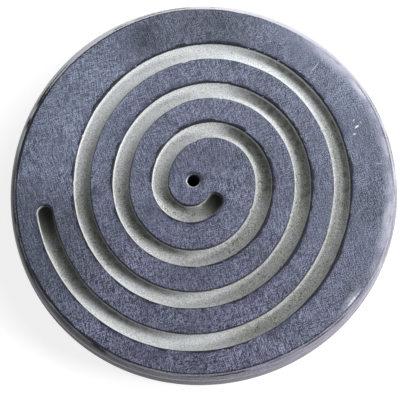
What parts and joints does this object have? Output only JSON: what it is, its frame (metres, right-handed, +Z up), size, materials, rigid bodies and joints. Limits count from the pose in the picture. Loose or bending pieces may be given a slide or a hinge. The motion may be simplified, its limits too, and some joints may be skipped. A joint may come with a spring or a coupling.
{
  "type": "incense stick holder",
  "caption": "Round flat soapstone disc with a spiral ash groove carved in its top face and a small blind hole that holds an incense stick.",
  "frame": {"origin": "middle of the flat underside", "axes": "+Z up out of the carved top face, +Y away from the viewer, +X to the right, away from the groove's outer end"},
  "size_m": [0.0998, 0.0998, 0.011],
  "materials": {
    "soapstone": "darkened blue-grey soapstone rubbed to a low sheen, pale grey-green where the groove is cut through the skin"
  },
  "bodies": {
    "root": {"stone_disc": "soapstone"}
  },
  "joints": []
}
